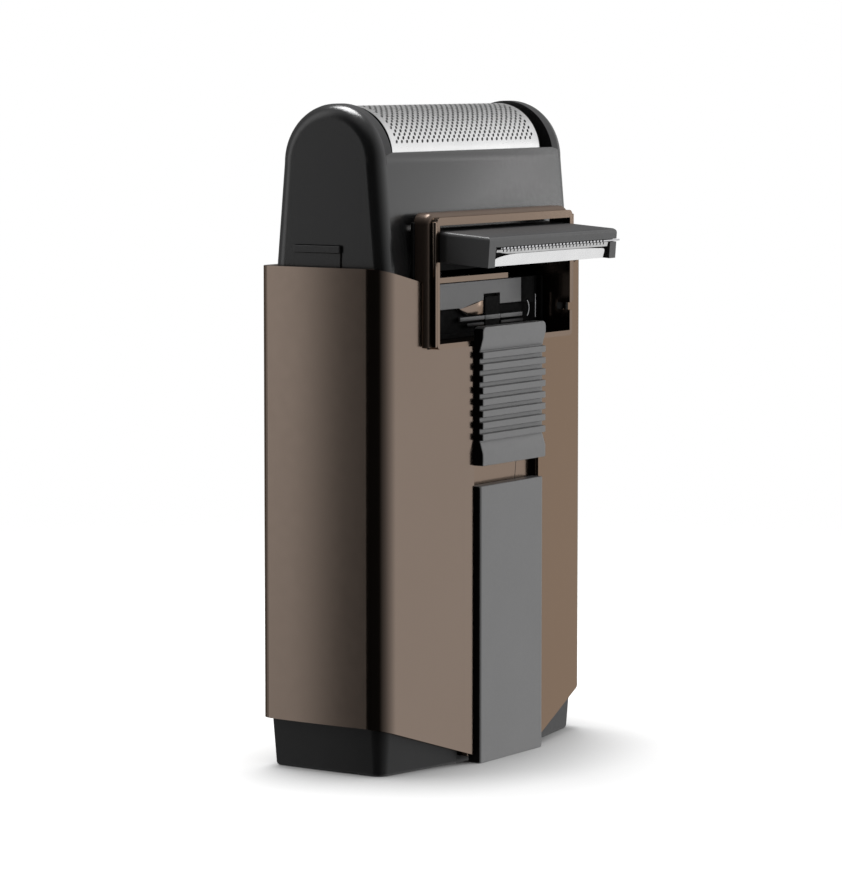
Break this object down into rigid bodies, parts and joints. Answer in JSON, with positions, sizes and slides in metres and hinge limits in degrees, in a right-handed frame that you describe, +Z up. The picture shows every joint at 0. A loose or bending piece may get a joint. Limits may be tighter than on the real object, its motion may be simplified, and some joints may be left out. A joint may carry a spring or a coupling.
{
  "type": "electric shaver",
  "caption": "Pocket foil shaver: bronze sleeve, black arched foil head, pop-out trimmer in a front window, ribbed slider and a stepped base it stands on.",
  "frame": {"origin": "centre of the flat underside that the shaver stands on", "axes": "+Z up along the shaver towards the foil, -Y towards the trimmer side, +X to the right as seen from the trimmer side; X = 0 is the middle plane"},
  "size_m": [0.0636, 0.0395, 0.1103],
  "materials": {
    "bronze_shell": "metallic bronze lacquer, semi-gloss",
    "black_plastic": "satin",
    "grey_plastic": "satin",
    "foil_steel": "bright, perforated",
    "blade_steel": "ground",
    "spring_steel": "drawn wire",
    "socket_metal": "plain",
    "battery_wrap": "printed film, plain",
    "board_green": "solder mask",
    "light_lens": "frosted",
    "white_plastic": "plain"
  },
  "bodies": {
    "body": {"front_shell": "bronze_shell", "rear_cover": "bronze_shell", "base_cap": "black_plastic", "charging_socket": "socket_metal", "front_strip": "grey_plastic", "recess_tray": "black_plastic", "mechanism_plate": "grey_plastic", "chassis": "black_plastic", "head_collar": "black_plastic", "hinge_pin": "spring_steel", "trimmer_spring": "spring_steel", "motor": "socket_metal", "battery": "battery_wrap", "battery_contact_low": "spring_steel", "battery_contact_high": "spring_steel", "circuit_board": "board_green", "charge_light": "light_lens", "case_screw_left": "spring_steel", "case_screw_right": "spring_steel"},
    "crank": {"motor_crank": "spring_steel"},
    "oscillator": {"oscillator": "white_plastic", "cutter_spring_left": "spring_steel", "cutter_spring_right": "spring_steel"},
    "cutter": {"cutter_block": "white_plastic", "cutter_blades": "blade_steel"},
    "head": {"head_housing": "black_plastic", "foil_frame": "black_plastic", "foil": "foil_steel", "button_spring_left": "spring_steel", "button_spring_right": "spring_steel"},
    "button_left": {"release_button_left": "black_plastic"},
    "button_right": {"release_button_right": "black_plastic"},
    "slider": {"slider": "grey_plastic", "slider_carrier": "black_plastic"},
    "trimmer": {"trimmer_housing": "black_plastic", "trimmer_comb": "blade_steel"},
    "blade": {"trimmer_blade": "blade_steel"},
    "switch": {"power_switch": "black_plastic"}
  },
  "joints": [
    {"name": "trimmer_fold", "type": "hinge", "parent": "body", "child": "trimmer", "pos_m": [0, -0.0132, 0.08695], "axis": [1, 0, 0], "range_deg": [0, 85.8]},
    {"name": "slider_slide", "type": "slide", "parent": "body", "child": "slider", "axis": [0, 0, -1], "range_m": [0, 0.0032]},
    {"name": "drive_oscillation", "type": "slide", "parent": "body", "child": "oscillator", "axis": [1, 0, 0], "range_m": [-0.0012, 0.0012], "stiffness_N_per_m": 600},
    {"name": "trimmer_blade_oscillation", "type": "slide", "parent": "trimmer", "child": "blade", "axis": [1, 0, 0], "range_m": [-0.0008, 0.0008]},
    {"name": "cutter_float", "type": "slide", "parent": "oscillator", "child": "cutter", "axis": [0, 0, -1], "range_m": [0, 0.001], "stiffness_N_per_m": 500, "springref_m": -0.001, "deforming": ["cutter_spring_left", "cutter_spring_right"]},
    {"name": "motor_spin", "type": "hinge", "parent": "body", "child": "crank", "pos_m": [0, 0, 0.08], "axis": [0, 0, 1], "continuous": true},
    {"name": "head_lift", "type": "slide", "parent": "body", "child": "head", "axis": [0, 0, 1], "range_m": [0, 0.014]},
    {"name": "release_button_left_press", "type": "slide", "parent": "head", "child": "button_left", "axis": [1, 0, 0], "range_m": [0, 0.001], "stiffness_N_per_m": 800, "springref_m": -0.001},
    {"name": "release_button_right_press", "type": "slide", "parent": "head", "child": "button_right", "axis": [-1, 0, 0], "range_m": [0, 0.001], "stiffness_N_per_m": 800, "springref_m": -0.001},
    {"name": "power_switch_slide", "type": "slide", "parent": "body", "child": "switch", "axis": [0, 0, 1], "range_m": [0, 0.004]}
  ],
  "couplings": [
    {"joint": "trimmer_fold", "follows": "slider_slide", "rad_per_m": 467.92},
    {"joint": "trimmer_blade_oscillation", "follows": "drive_oscillation", "ratio": 0.65}
  ]
}
